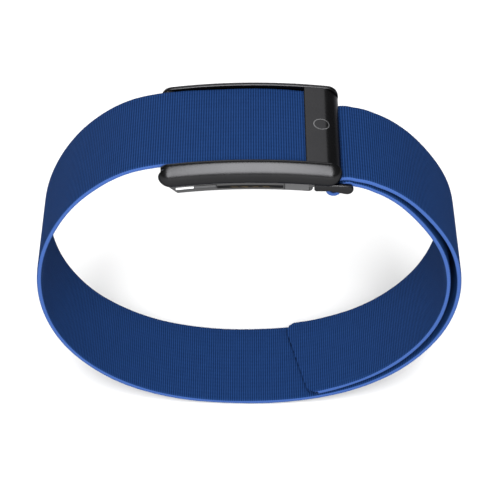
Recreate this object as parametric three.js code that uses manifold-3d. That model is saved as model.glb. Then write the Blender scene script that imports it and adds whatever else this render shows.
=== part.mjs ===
// Fitness tracker band: a sensor pod under a metal clasp frame, on one knitted strap.
// Millimetres, +Z up. The wearer's arm lies along Y, and the origin is on the arm's axis.
// The pod is at the top, the hinge of the clasp at -X and the strap link at +X.
import * as THREE from 'three';
import Module from 'manifold-3d';
import * as BufferGeometryUtils from 'three/addons/utils/BufferGeometryUtils.js';

const wasm = await Module();
wasm.setup();

// ---------------------------------------------------------------- driving dimensions
const GAP = 0.3; // clearance between neighbouring pieces

const STRAP_WIDTH = 25.4;
const STRAP_THICKNESS = 1.2;
const STRAP_EDGE = STRAP_WIDTH / 2;

// The clasp, the pod and their trims follow one arch, drawn with concentric arcs.
const ARCH_RADIUS = 140; // of the top edge of the rails
const ARCH_X = 2;
const RAIL_TOP = 42.3; // height of that edge at its crown

const RAIL_HEIGHT = 6;
const RAIL_LEFT = -20.1;
const RAIL_RIGHT = 21.6;
const RAIL_INNER = 13.05; // from the middle of the strap, across it
const RAIL_OUTER = 15.8;
const RAIL_LIP = 0.5; // straight stretch before the face of the rail bulges

const CROSSBAR_LEFT = 13.4;
const CROSSBAR_TOP = RAIL_TOP - 0.15;
const CROSSBAR_WALL = 0.65;
const CROSSBAR_ROLL = 4.3; // outer radius where the bar turns down
const CROSSBAR_BOTTOM = 36.8;

const POD_LEFT = -19.5;
const POD_RIGHT = 15.25;
const POD_HALF_WIDTH = 12.1;
const POD_CORNER = 2.2;
const POD_TOP = 39.6;
const POD_BOTTOM = 32.0;
const POD_SPLIT = 36.4; // joint between the case and its cover
const POD_WALL = 1.0;
const POD_SIDE_WALL = 2.0;
const SEAL_DEPTH = 0.6;

const CLASP_HINGE = new THREE.Vector2(-17.7, 38.9);
const HINGE_PIN_RADIUS = 0.5;
const EAR_INNER = 13.35; // the pod's ears stand inside pockets in the rails
const EAR_OUTER = 14.25;
const EAR_RADIUS = 1.2;
const EAR_TAB = 0.7; // tab that lifts the ear's foot behind the rail

const LINK_HINGE = new THREE.Vector2(16.4, 34.3);
const LINK_PIN_RADIUS = 0.45;
const LINK_INNER = 13.0;
const LINK_OUTER = 14.1;

const ANCHOR_ROD = new THREE.Vector2(17.3, 39.0);
const ANCHOR_ROD_RADIUS = 0.55;
const HEM_RADIUS = 1.3;

const WINDOW = { x: 0, length: 19, width: 14, corner: 4.5, low: 30.3, high: 31.3 };
const BOSS_RIM = 2.2; // width of the raised ring round the window
const BOSS_LOW = 30.6;

const BOARD_LOW = 34.2;
const BOARD_THICKNESS = 0.6;
const BOARD_TOP = BOARD_LOW + BOARD_THICKNESS;
const CHIP_LOW = BOARD_TOP + GAP;

const MOTOR = { x: 9.2, y: 4.9, radius: 4, height: 2.2, wall: 0.3 };

// ---------------------------------------------------------------- materials
const material = (color, roughness, metalness) =>
  new THREE.MeshStandardMaterial({ color, roughness, metalness });

const blackMetal = material(0x3a3a3c, 0.38, 0.9);
const blackPolymer = material(0x26272a, 0.5, 0);
const greyPolymer = material(0x5c5d60, 0.5, 0);
const steel = material(0xb9bcc0, 0.3, 1);
const smokedGlass = material(0x101113, 0.08, 0);
const rubber = material(0x17181a, 0.8, 0);
const boardGreen = material(0x1d5a36, 0.55, 0);
const chipBlack = material(0x1b1b1d, 0.5, 0);
const shieldTin = material(0xa7a9ab, 0.35, 1);
const cellFoil = material(0xc4c7c9, 0.4, 0.8);
const flexAmber = material(0xb4651d, 0.45, 0);
const gold = material(0xd8a846, 0.3, 1);
const lightPipe = material(0xe8eaec, 0.35, 0);
const diodeGreen = material(0x58d36a, 0.3, 0);
const diodeRed = material(0xd8493c, 0.3, 0);
const diodeDark = material(0x2b2140, 0.3, 0);
const siliconCell = material(0x2a3442, 0.25, 0.2);
const knitBlue = material(0x224278, 0.9, 0);

// ---------------------------------------------------------------- outlines
const archCentre = new THREE.Vector2(ARCH_X, RAIL_TOP - ARCH_RADIUS);
const archRadius = (crown) => crown - archCentre.y;
const archAngle = (x, crown) => Math.acos((x - archCentre.x) / archRadius(crown));
const archPoint = (angle, crown) =>
  new THREE.Vector2(Math.cos(angle), Math.sin(angle)).multiplyScalar(archRadius(crown)).add(archCentre);

function arc(centre, radius, from, to, steps) {
  return Array.from({ length: steps + 1 }, (_, i) => {
    const a = from + ((to - from) * i) / steps;
    return new THREE.Vector2(centre.x + radius * Math.cos(a), centre.y + radius * Math.sin(a));
  });
}

function outline(points) {
  const apart = (p, q) => p.distanceTo(q) > 0.01;
  const kept = points.filter((p, i) => apart(p, points[(i + 1) % points.length]));
  return new THREE.Shape(kept);
}

// The band between two concentric arcs of the arch, with upright ends.
function archBand(left, right, low, high, steps = 14) {
  const along = (crown, a, b) =>
    arc(archCentre, archRadius(crown), archAngle(a, crown), archAngle(b, crown), steps);
  return outline([...along(high, left, right), ...along(low, right, left)]);
}

function roundedRect(left, right, near, far, corner) {
  const quarter = Math.PI / 2;
  const turn = (x, y, start) => arc(new THREE.Vector2(x, y), corner, start, start + quarter, 4);
  return outline([
    ...turn(right - corner, far - corner, 0),
    ...turn(left + corner, far - corner, quarter),
    ...turn(left + corner, near + corner, 2 * quarter),
    ...turn(right - corner, near + corner, 3 * quarter),
  ]);
}

// ---------------------------------------------------------------- solids
// A shape drawn in X and Z, given its thickness along Y.
function slab(shape, near, far, bevel = {}) {
  const options = { depth: far - near, bevelEnabled: false, steps: 1, ...bevel };
  return new THREE.ExtrudeGeometry(shape, options).rotateX(Math.PI / 2).translate(0, far, 0);
}

// A shape drawn in X and Y, given its height along Z.
function plate(shape, low, high) {
  const options = { depth: high - low, bevelEnabled: false, steps: 1 };
  return new THREE.ExtrudeGeometry(shape, options).translate(0, 0, low);
}

function block(left, right, near, far, low, high) {
  const box = new THREE.BoxGeometry(right - left, far - near, high - low);
  return box.translate((left + right) / 2, (near + far) / 2, (low + high) / 2);
}

function rodAlongY(centre, radius, near, far, sides = 16) {
  const rod = new THREE.CylinderGeometry(radius, radius, far - near, sides);
  return rod.translate(centre.x, (near + far) / 2, centre.y);
}

function drum(x, y, radius, low, high, sides = 24) {
  const can = new THREE.CylinderGeometry(radius, radius, high - low, sides);
  return can.rotateX(Math.PI / 2).translate(x, y, (low + high) / 2);
}

function solid(geometry) {
  const bare = geometry.clone();
  bare.deleteAttribute('normal');
  bare.deleteAttribute('uv');
  const merged = BufferGeometryUtils.mergeVertices(bare, 1e-4);
  const index = merged.index.array;
  const kept = [];
  for (let i = 0; i < index.length; i += 3) {
    const [a, b, c] = index.slice(i, i + 3);
    if (a !== b && b !== c && c !== a) kept.push(a, b, c);
  }
  return new wasm.Manifold(new wasm.Mesh({
    numProp: 3,
    vertProperties: new Float32Array(merged.attributes.position.array),
    triVerts: new Uint32Array(kept),
  }));
}

function surface(manifold) {
  const { vertProperties, triVerts } = manifold.getMesh();
  const geometry = new THREE.BufferGeometry();
  geometry.setAttribute('position', new THREE.BufferAttribute(new Float32Array(vertProperties), 3));
  geometry.setIndex(new THREE.BufferAttribute(new Uint32Array(triVerts), 1));
  return geometry;
}

const join = (...geometries) => surface(geometries.map(solid).reduce((a, b) => a.add(b)));
const cut = (body, ...tools) =>
  surface(tools.map(solid).reduce((a, b) => a.subtract(b), solid(body)));
const common = (a, b) => surface(solid(a).intersect(solid(b)));
const bothSides = (make) => [make(-1), make(1)];

// A slab between two distances from the middle, on the -Y or the +Y side.
const sideSlab = (side, shape, inner, outer) =>
  side < 0 ? slab(shape, -outer, -inner) : slab(shape, inner, outer);
const sideRod = (side, centre, radius, inner, outer) =>
  side < 0 ? rodAlongY(centre, radius, -outer, -inner) : rodAlongY(centre, radius, inner, outer);

const tracker = new THREE.Group();

function part(name, geometry, finish) {
  const mesh = new THREE.Mesh(geometry, finish);
  mesh.name = name;
  tracker.add(mesh);
}

// ---------------------------------------------------------------- clasp frame
const RAIL_MIDDLE = RAIL_TOP - RAIL_HEIGHT / 2;

function railOutline() {
  const half = RAIL_HEIGHT / 2;
  const start = archAngle(RAIL_LEFT + half, RAIL_MIDDLE);
  const end = archAngle(RAIL_RIGHT - half, RAIL_MIDDLE);
  return outline([
    ...arc(archCentre, archRadius(RAIL_TOP), start, end, 16),
    ...arc(archPoint(end, RAIL_MIDDLE), half, end, end - Math.PI, 12),
    ...arc(archCentre, archRadius(RAIL_TOP - RAIL_HEIGHT), end, start, 16),
    ...arc(archPoint(start, RAIL_MIDDLE), half, start - Math.PI, start - 2 * Math.PI, 12),
  ]);
}

// Each rail has a flat inner wall and an outer face that bulges like half an egg.
function rail(side) {
  const bulge = RAIL_OUTER - RAIL_INNER - RAIL_LIP;
  const dome = RAIL_HEIGHT / 2 - 0.4;
  const bevel = {
    bevelEnabled: true, bevelSegments: 5, bevelThickness: bulge, bevelSize: dome, bevelOffset: -dome,
  };
  const inner = side < 0 ? -RAIL_INNER - RAIL_LIP : RAIL_INNER;
  const egg = slab(railOutline(), inner, inner + RAIL_LIP, bevel);
  const reach = RAIL_OUTER + 1;
  const half = side < 0
    ? block(-30, 30, -reach, -RAIL_INNER, 30, 50)
    : block(-30, 30, RAIL_INNER, reach, 30, 50);
  return common(egg, half);
}

// The bar starts level with the rails, rolls down and ends in an upright wall.
function crossbarOutline() {
  const outer = archRadius(CROSSBAR_TOP);
  const inner = outer - CROSSBAR_WALL;
  const roll = CROSSBAR_ROLL;
  const turn = Math.acos((RAIL_RIGHT - roll - archCentre.x) / (outer - roll));
  const start = archAngle(CROSSBAR_LEFT, CROSSBAR_TOP);
  const centre = archPoint(turn, CROSSBAR_TOP - roll);
  return outline([
    ...arc(archCentre, outer, start, turn, 4),
    ...arc(centre, roll, turn, 0, 10),
    new THREE.Vector2(RAIL_RIGHT, CROSSBAR_BOTTOM),
    new THREE.Vector2(RAIL_RIGHT - CROSSBAR_WALL, CROSSBAR_BOTTOM),
    ...arc(centre, roll - CROSSBAR_WALL, 0, turn, 10),
    ...arc(archCentre, inner, turn, start, 4),
  ]);
}

// Room for the pod's ear to turn in, open below and at the end of the rail.
function earPocket(side) {
  const radius = EAR_RADIUS + GAP;
  const { x, y } = CLASP_HINGE;
  const shape = outline([
    ...arc(CLASP_HINGE, radius, 0, Math.PI / 2, 6),
    new THREE.Vector2(x - 4, y + radius),
    new THREE.Vector2(x - 4, y - 5.5),
    new THREE.Vector2(x + 4.3, y - 5.5),
  ]);
  return sideSlab(side, shape, RAIL_INNER - 1, EAR_OUTER + GAP);
}

const pinHole = (side) =>
  sideRod(side, CLASP_HINGE, HINGE_PIN_RADIUS + GAP, RAIL_INNER - 1, EAR_OUTER + 0.95);
const rodSocket = (side) =>
  sideRod(side, ANCHOR_ROD, ANCHOR_ROD_RADIUS + GAP, RAIL_INNER - 1, RAIL_INNER + 1.4);

const crossbar = slab(crossbarOutline(), -RAIL_INNER - RAIL_LIP / 2, RAIL_INNER + RAIL_LIP / 2);
part(
  'clasp_frame',
  cut(
    join(crossbar, ...bothSides(rail)),
    ...bothSides(earPocket), ...bothSides(pinHole), ...bothSides(rodSocket),
  ),
  blackMetal,
);
part(
  'strap_anchor_rod',
  rodAlongY(ANCHOR_ROD, ANCHOR_ROD_RADIUS, -RAIL_INNER - 1.1, RAIL_INNER + 1.1),
  steel,
);
for (const [name, side] of [['hinge_pin_near', -1], ['hinge_pin_far', 1]]) {
  part(name, sideRod(side, CLASP_HINGE, HINGE_PIN_RADIUS, EAR_INNER, EAR_OUTER + 0.65), steel);
}

// ---------------------------------------------------------------- pod case
const podPlan = (inset, low, high, side = inset) => plate(
  roundedRect(
    POD_LEFT + inset, POD_RIGHT - inset, -POD_HALF_WIDTH + side, POD_HALF_WIDTH - side,
    Math.max(POD_CORNER - inset, 0.8),
  ),
  low, high,
);

// A stretch of the pod between two arcs, with its plan rounded at the corners.
function podLayer(low, high, inset = 0, side = inset) {
  const band = slab(archBand(POD_LEFT, POD_RIGHT, low, high, 18), -POD_HALF_WIDTH, POD_HALF_WIDTH);
  return common(band, podPlan(inset, 20, 50, side));
}

// The lower left edge is cut away on a slope, up to the hinge. The same wedge, moved inwards,
// keeps the hollow a wall's thickness away from it.
const heel = (dx, dy) => slab(
  outline([
    [POD_LEFT - 1, 28], [-16.9, 28], [-16.4, 31.5], [-18.0, 33.1], [POD_LEFT, 35.2], [POD_LEFT - 1, 35.4],
  ].map(([x, y]) => new THREE.Vector2(x + dx, y + dy))),
  -20, 20,
);

// Ear: an eye round the clasp hinge on a leg, with a foot and a tab on the side of the pod.
function ear(side) {
  const eye = sideRod(side, CLASP_HINGE, EAR_RADIUS, EAR_INNER, EAR_OUTER);
  const { x, y } = CLASP_HINGE;
  const leg = outline([
    new THREE.Vector2(x - 0.9, y - 0.7), new THREE.Vector2(x + 1.1, y + 0.3),
    new THREE.Vector2(-15.3, 36.0), new THREE.Vector2(-15.3, 35.2), new THREE.Vector2(-17.2, 35.2),
  ]);
  const shelf = (low, high) => outline([
    new THREE.Vector2(-17.2, low), new THREE.Vector2(-15.3, low),
    new THREE.Vector2(-15.3, high), new THREE.Vector2(-17.2, high),
  ]);
  return join(
    eye,
    sideSlab(side, leg, EAR_INNER, EAR_OUTER),
    sideSlab(side, shelf(35.2, 36.0), POD_HALF_WIDTH + 0.1, EAR_OUTER),
    sideSlab(side, shelf(34.3, 36.0), POD_HALF_WIDTH - 0.1, POD_HALF_WIDTH + EAR_TAB),
  );
}

// Lug: carries the pin of the link beyond the right end of the pod.
function lug(side) {
  const eye = sideRod(side, LINK_HINGE, 0.95, 10.8, LINK_INNER - 0.4);
  const arm = outline([
    new THREE.Vector2(POD_RIGHT - 1, LINK_HINGE.y - 0.95), new THREE.Vector2(LINK_HINGE.x, LINK_HINGE.y - 0.95),
    new THREE.Vector2(LINK_HINGE.x, LINK_HINGE.y + 0.95), new THREE.Vector2(POD_RIGHT - 1, LINK_HINGE.y + 0.95),
  ]);
  return join(eye, sideSlab(side, arm, 10.8, LINK_INNER - 0.4));
}

const SLOT = { left: -6.65, right: 8.4, low: POD_BOTTOM + 0.7, high: POD_BOTTOM + 1.55, depth: 1.3 };
const STATUS = { left: -16.1, right: -12.0, low: POD_BOTTOM + 1.2, high: POD_BOTTOM + 1.75 };
const TRIM = { left: -11.9, right: -6.95, low: POD_BOTTOM + 1.15, high: POD_BOTTOM + 1.85, depth: 0.8 };
const ANTENNA = { left: 8.8, right: 14.3, low: POD_BOTTOM + 0.35, high: POD_BOTTOM + 3.6, depth: 0.9 };

const sideRecess = (side, spec, depth, grow = 0) => sideSlab(
  side, archBand(spec.left - grow, spec.right + grow, spec.low - grow, spec.high + grow, 8),
  POD_HALF_WIDTH - depth - grow, POD_HALF_WIDTH + 1,
);

const window = (grow, low, high) => plate(
  roundedRect(
    WINDOW.x - WINDOW.length / 2 - grow, WINDOW.x + WINDOW.length / 2 + grow,
    -WINDOW.width / 2 - grow, WINDOW.width / 2 + grow, WINDOW.corner + grow,
  ),
  low, high,
);

part(
  'pod_bottom_case',
  cut(
    join(
      cut(
        podLayer(POD_BOTTOM, POD_SPLIT),
        cut(podLayer(POD_BOTTOM + POD_WALL, POD_SPLIT + 1, POD_WALL, POD_SIDE_WALL), heel(0.9, 0.6)),
        heel(0, 0),
      ),
      window(BOSS_RIM, BOSS_LOW, POD_BOTTOM + 0.1),
      ...bothSides(ear), ...bothSides(lug),
    ),
    window(GAP, BOSS_LOW - 1, POD_BOTTOM + 2),
    ...bothSides((side) => sideRecess(side, SLOT, SLOT.depth)),
    ...bothSides((side) => sideRod(side, CLASP_HINGE, HINGE_PIN_RADIUS + GAP, RAIL_INNER, EAR_OUTER + 1)),
    ...bothSides((side) => sideRod(side, LINK_HINGE, LINK_PIN_RADIUS + GAP / 2, 11.3, LINK_INNER)),
    sideRecess(-1, STATUS, POD_SIDE_WALL + 1, 0.15),
    sideRecess(-1, TRIM, TRIM.depth, 0.15),
    ...bothSides((side) => sideRecess(side, ANTENNA, ANTENNA.depth, 0.15)),
  ),
  blackPolymer,
);

const coverRoof = podLayer(POD_TOP - POD_WALL, POD_TOP);
const coverWall = cut(
  podLayer(POD_SPLIT + SEAL_DEPTH + 2 * GAP, POD_TOP - POD_WALL / 2),
  podLayer(POD_SPLIT, POD_TOP, POD_WALL, POD_SIDE_WALL),
);
part('pod_top_cover', join(coverRoof, coverWall), blackPolymer);
part(
  'case_seal',
  cut(
    podLayer(POD_SPLIT + GAP, POD_SPLIT + GAP + SEAL_DEPTH, 0.3, 0.5),
    podLayer(POD_SPLIT - 1, POD_SPLIT + 3, 0.9, 1.4),
  ),
  rubber,
);

// ---------------------------------------------------------------- trims in the side of the pod
part(
  'status_light_window',
  sideSlab(-1, archBand(STATUS.left, STATUS.right, STATUS.low, STATUS.high, 4),
    POD_HALF_WIDTH - POD_SIDE_WALL + 0.2, POD_HALF_WIDTH + 0.02),
  lightPipe,
);
part(
  'side_trim',
  sideSlab(-1, archBand(TRIM.left, TRIM.right, TRIM.low, TRIM.high, 4),
    POD_HALF_WIDTH - TRIM.depth + 0.15, POD_HALF_WIDTH + 0.05),
  greyPolymer,
);
for (const [name, side] of [['antenna_cover_near', -1], ['antenna_cover_far', 1]]) {
  part(
    name,
    sideSlab(side, archBand(ANTENNA.left, ANTENNA.right, ANTENNA.low, ANTENNA.high, 4),
      POD_HALF_WIDTH - ANTENNA.depth + 0.15, POD_HALF_WIDTH + 0.05),
    greyPolymer,
  );
}

// Four sprung contacts stand in the floor of the near slot.
const CONTACT_PITCH = 2.4;
const CONTACT_LENGTH = 1.4;
for (let i = 0; i < 4; i += 1) {
  const left = (SLOT.left + SLOT.right) / 2 + (i - 1.5) * CONTACT_PITCH - CONTACT_LENGTH / 2;
  const back = POD_HALF_WIDTH - SLOT.depth;
  part(
    `charge_contact_${i + 1}`,
    sideSlab(-1, archBand(left, left + CONTACT_LENGTH, SLOT.low + 0.2, SLOT.high - 0.2, 2),
      back + 0.15, back + 0.55),
    gold,
  );
}

// ---------------------------------------------------------------- optical sensor
part('sensor_window', window(0, WINDOW.low, WINDOW.high), smokedGlass);

const SENSOR_LOW = WINDOW.high + GAP;
const SENSOR_HIGH = SENSOR_LOW + 0.9;
const EMITTER_SIZE = 1.6;
const DETECTOR = { length: 2.4, width: 2.8 };
const LED_PITCH = 2.6;
const emitters = [
  ['green_led_1', -1, 0, diodeGreen],
  ['red_led', 0, -1, diodeRed],
  ['green_led_2', 1, 0, diodeGreen],
  ['infrared_led', 0, 1, diodeDark],
  ['green_led_3', 0, 0, diodeGreen],
];
const detectors = [
  ['photodiode_1', -6.3, -3.4],
  ['photodiode_2', 6.3, -3.4],
  ['photodiode_3', 6.3, 3.4],
  ['photodiode_4', -6.3, 3.4],
];
const chipAt = (x, y, length, width, low, high) =>
  block(x - length / 2, x + length / 2, y - width / 2, y + width / 2, low, high);

const emitterBlock = (column, row, grow, low, high) => chipAt(
  column * LED_PITCH, row * LED_PITCH, EMITTER_SIZE + 2 * grow, EMITTER_SIZE + 2 * grow, low, high,
);
const detectorBlock = (x, y, grow, low, high) =>
  chipAt(x, y, DETECTOR.length + 2 * grow, DETECTOR.width + 2 * grow, low, high);

// The baffle keeps the light of the diodes away from the detectors.
part(
  'light_baffle',
  cut(
    window(-0.3, SENSOR_LOW, SENSOR_HIGH),
    ...emitters.map(([, column, row]) => emitterBlock(column, row, 0.25, SENSOR_LOW - 1, SENSOR_HIGH + 1)),
    ...detectors.map(([, x, y]) => detectorBlock(x, y, 0.25, SENSOR_LOW - 1, SENSOR_HIGH + 1)),
  ),
  rubber,
);
for (const [name, column, row, finish] of emitters) {
  part(name, emitterBlock(column, row, 0, SENSOR_LOW + 0.3, SENSOR_HIGH), finish);
}
for (const [name, x, y] of detectors) {
  part(name, detectorBlock(x, y, 0, SENSOR_LOW + 0.4, SENSOR_HIGH), siliconCell);
}
part('sensor_board', window(-0.3, SENSOR_HIGH + GAP, SENSOR_HIGH + GAP + BOARD_THICKNESS), boardGreen);
part('temperature_sensor', chipAt(-14.5, 4, 1.6, 2.2, POD_BOTTOM + 0.7, POD_BOTTOM + 1.4), chipBlack);
part('status_led', chipAt(-14.05, -9.2, 1.4, 0.8, POD_BOTTOM + 0.6, POD_BOTTOM + 1.1), lightPipe);

// ---------------------------------------------------------------- electronics
part('main_board', plate(roundedRect(-17.2, 13.4, -9.6, 9.6, 1.2), BOARD_LOW, BOARD_TOP), boardGreen);
const chips = [
  ['processor_chip', 7.3, -3.0, 4.0, 4.0, 0.8, chipBlack],
  ['memory_chip', 11.6, -3.0, 2.8, 3.4, 0.8, chipBlack],
  ['radio_shield', 7.4, -7.4, 4.2, 3.4, 1.2, shieldTin],
  ['motion_sensor', 11.6, -7.4, 2.5, 3.0, 0.9, chipBlack],
  ['battery_board', -14.4, 0, 2.6, 12.0, 0.8, boardGreen],
];
for (const [name, x, y, length, width, height, finish] of chips) {
  part(name, chipAt(x, y, length, width, CHIP_LOW, CHIP_LOW + height), finish);
}
part('battery_cell', plate(roundedRect(-12.4, 4.4, -9.3, 9.3, 1.4), CHIP_LOW, CHIP_LOW + 2.1), cellFoil);

// The flex strip joins the sensor board to the main board.
part('sensor_flex', chipAt(-8.6, 0, 3.4, 5.0, BOARD_LOW - 0.55, BOARD_LOW - 0.4), flexAmber);

// ---------------------------------------------------------------- haptic motor
const motorLow = CHIP_LOW;
const motorHigh = motorLow + MOTOR.height;
part(
  'haptic_motor_can',
  cut(
    drum(MOTOR.x, MOTOR.y, MOTOR.radius, motorLow, motorHigh),
    drum(MOTOR.x, MOTOR.y, MOTOR.radius - MOTOR.wall, motorLow - 1, motorHigh - MOTOR.wall),
  ),
  shieldTin,
);
part(
  'haptic_motor_shaft',
  drum(MOTOR.x, MOTOR.y, 0.3, motorLow - 0.1, motorHigh - MOTOR.wall - 0.15, 12),
  steel,
);
// The weight is a ring round the shaft with a heavy half disc on one side.
const weightDisc = (radius, grow = 0) =>
  drum(MOTOR.x, MOTOR.y, radius, motorLow + 0.15 - grow, motorHigh - MOTOR.wall - GAP + grow);
part(
  'haptic_weight',
  cut(
    join(
      weightDisc(1.1),
      common(
        weightDisc(MOTOR.radius - MOTOR.wall - GAP),
        block(MOTOR.x, MOTOR.x + 5, MOTOR.y - 5, MOTOR.y + 5, motorLow, motorHigh),
      ),
    ),
    weightDisc(0.6, 1),
  ),
  steel,
);

// ---------------------------------------------------------------- strap link
// Two arms hold a flat bar that the strap turns round, and a round bar at the end.
const END_BAR = new THREE.Vector2(23.4, 32.9);
const armOutline = outline([
  new THREE.Vector2(15.4, 35.1), new THREE.Vector2(15.4, 33.6), new THREE.Vector2(15.75, 33.2),
  new THREE.Vector2(19.2, 33.2), new THREE.Vector2(22.2, 32.4),
  ...arc(new THREE.Vector2(22.9, 33.7), 1.4, -Math.PI / 2, 0.2, 6),
  new THREE.Vector2(23.8, 34.7), new THREE.Vector2(20.6, 35.1),
]);
const arm = (side) => sideSlab(side, armOutline, LINK_INNER, LINK_OUTER);
const acrossStrap = LINK_INNER + 0.3;
const turnBar = slab(roundedRect(19.4, 20.3, 32.3, 34.2, 0.35), -acrossStrap, acrossStrap);
const endBar = rodAlongY(END_BAR, 0.7, -acrossStrap, acrossStrap);
part(
  'link_frame',
  cut(
    join(...bothSides(arm), turnBar, endBar),
    ...bothSides((side) => sideRod(side, LINK_HINGE, LINK_PIN_RADIUS + GAP / 2, LINK_INNER - 1, LINK_OUTER - 0.2)),
  ),
  blackMetal,
);
for (const [name, side] of [['link_pin_near', -1], ['link_pin_far', 1]]) {
  part(name, sideRod(side, LINK_HINGE, LINK_PIN_RADIUS, 11.5, LINK_OUTER - 0.4), steel);
}

// ---------------------------------------------------------------- strap
// The strap's middle surface, seen along the arm: each list is its route in X and Z.
const route = (...pairs) => new THREE.SplineCurve(pairs.map(([x, z]) => new THREE.Vector2(x, z)));

const spanRoute = route([-15.2, 40.25], [-12, 40.65], [0, 41.2], [8, 40.95], [13.4, 40.2], [16.2, 39.5]);
const loopRoute = route(
  [-19.0, 39.8], [-22.9, 39.3], [-27.1, 37.95], [-30.8, 35.85], [-36.6, 31.2], [-42.3, 24.4],
  [-47.9, 12.8], [-49.9, 0], [-48.0, -12.9], [-42.1, -24.3], [-33.0, -33.0], [-22.2, -38.5],
  [-11.0, -41.1], [0, -41.8], [11.0, -41.1], [22.2, -38.5], [33.2, -33.2], [42.6, -24.6],
  [49.1, -13.2], [51.3, 0], [48.7, 13.1], [41.8, 24.1], [36.3, 30.0], [32.4, 32.7],
  [29.0, 34.4], [24.7, 35.45],
);
const turnCentre = new THREE.Vector2(19.85, 32.25);
const TURN_RADIUS = 1.3;
const turnRoute = new THREE.SplineCurve([
  ...[[23.3, 35.8], [21.4, 35.75], [19.9, 35.5], [18.85, 34.6], [18.55, 33.3]]
    .map(([x, z]) => new THREE.Vector2(x, z)),
  ...arc(turnCentre, TURN_RADIUS, Math.PI, 2 * Math.PI, 4),
  ...[[21.25, 33.1], [21.9, 34.05], [23.3, 34.4]].map(([x, z]) => new THREE.Vector2(x, z)),
]);

// Points along a curve with the direction that is to its left.
function stations(curve, steps, from = 0, to = 1) {
  return Array.from({ length: steps + 1 }, (_, i) => {
    const at = from + ((to - from) * i) / steps;
    const heading = curve.getTangentAt(at);
    return { at: (at - from) / (to - from), point: curve.getPointAt(at), left: new THREE.Vector2(-heading.y, heading.x) };
  });
}

function ribbon(places) {
  const side = (amount) => places.map(({ point, left }) => point.clone().addScaledVector(left, amount));
  const half = STRAP_THICKNESS / 2;
  return outline([...side(half), ...side(-half).reverse()]);
}

const spanRibbon = slab(ribbon(stations(spanRoute, 18)), -STRAP_EDGE, STRAP_EDGE);
const hem = rodAlongY(ANCHOR_ROD, HEM_RADIUS, -STRAP_EDGE, STRAP_EDGE);
const hemBore = rodAlongY(ANCHOR_ROD, ANCHOR_ROD_RADIUS + GAP, -STRAP_EDGE - 1, STRAP_EDGE + 1);
part('strap_top_span', cut(join(spanRibbon, hem), hemBore), knitBlue);
part('strap_loop', slab(ribbon(stations(loopRoute, 84)), -STRAP_EDGE, STRAP_EDGE), knitBlue);
part('strap_link_turn', slab(ribbon(stations(turnRoute, 36)), -STRAP_EDGE, STRAP_EDGE), knitBlue);

// The spare end lies inside the loop, from the link to its slanted, rounded tip.
const TAIL_FROM = 1;
const TAIL_TO = 0.535;
const TAIL_NEAR = STRAP_THICKNESS + 0.35;
const TAIL_AWAY = 1.0;
function tailRibbon() {
  const places = stations(loopRoute, 44, TAIL_FROM, TAIL_TO);
  const inside = places.map(({ at, point, left }) => ({
    point: point.clone().addScaledVector(left, TAIL_NEAR + TAIL_AWAY * Math.sin(Math.PI * Math.min(at * 1.15, 1)) ** 0.8),
    left,
  }));
  return ribbon(inside);
}
const TAIL_TIP = { near: 16.1, far: 10.0, corner: 2.5 };
function tipTrim() {
  const back = 60;
  const tip = new THREE.Shape();
  tip.moveTo(back, -STRAP_EDGE);
  tip.lineTo(back, STRAP_EDGE);
  tip.lineTo(TAIL_TIP.far + TAIL_TIP.corner, STRAP_EDGE);
  tip.quadraticCurveTo(TAIL_TIP.far, STRAP_EDGE, TAIL_TIP.far + 0.6, STRAP_EDGE - TAIL_TIP.corner);
  tip.lineTo(TAIL_TIP.near - 0.6, -STRAP_EDGE + TAIL_TIP.corner);
  tip.quadraticCurveTo(TAIL_TIP.near, -STRAP_EDGE, TAIL_TIP.near + TAIL_TIP.corner, -STRAP_EDGE);
  return plate(tip, -50, 50);
}
part('strap_tail', common(slab(tailRibbon(), -STRAP_EDGE, STRAP_EDGE), tipTrim()), knitBlue);

export default tracker;
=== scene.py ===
# %% [markdown]
# # A fitness tracker band
# A sensor pod sits on the upper arm under one length of knitted strap. A black metal clasp frame
# lies over the strap and hinges on the pod's left end, and a metal link at the right end holds the
# strap's turn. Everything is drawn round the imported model, in its frame: metres, with the arm
# along Y and the origin on the arm's axis. Sizes below are in millimetres and are scaled once.

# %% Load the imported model
import bisect
import math

import bmesh
import bpy
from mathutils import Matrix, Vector


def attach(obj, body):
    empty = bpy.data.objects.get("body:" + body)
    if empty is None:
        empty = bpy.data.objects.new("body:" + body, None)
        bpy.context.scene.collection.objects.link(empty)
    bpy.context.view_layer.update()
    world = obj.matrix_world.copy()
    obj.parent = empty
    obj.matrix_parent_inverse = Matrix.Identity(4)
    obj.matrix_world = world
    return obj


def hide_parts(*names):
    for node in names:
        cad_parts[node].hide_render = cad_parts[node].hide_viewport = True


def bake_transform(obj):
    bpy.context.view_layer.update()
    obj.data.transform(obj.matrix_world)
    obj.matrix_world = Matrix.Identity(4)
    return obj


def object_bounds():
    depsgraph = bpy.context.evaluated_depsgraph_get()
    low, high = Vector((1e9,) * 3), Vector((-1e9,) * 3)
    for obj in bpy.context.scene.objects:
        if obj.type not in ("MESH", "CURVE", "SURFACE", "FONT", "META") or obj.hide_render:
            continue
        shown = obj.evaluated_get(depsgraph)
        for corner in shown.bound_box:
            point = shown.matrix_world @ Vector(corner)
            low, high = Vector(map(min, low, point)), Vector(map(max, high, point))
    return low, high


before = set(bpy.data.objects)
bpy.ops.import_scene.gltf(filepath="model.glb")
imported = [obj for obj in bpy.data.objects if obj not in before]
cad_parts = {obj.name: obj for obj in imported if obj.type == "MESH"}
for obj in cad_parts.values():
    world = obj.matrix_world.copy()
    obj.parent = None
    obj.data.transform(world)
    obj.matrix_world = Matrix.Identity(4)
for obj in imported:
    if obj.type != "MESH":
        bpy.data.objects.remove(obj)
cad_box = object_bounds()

MM = 0.001

# %% [markdown]
# ## Camera
# The camera stands in front of the near rail and looks down at a little under 45 degrees, with a
# long lens, so that the loop shows both its outside and its inside. A small shift sets the band
# slightly left of the middle. There is no depth of field.

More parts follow.
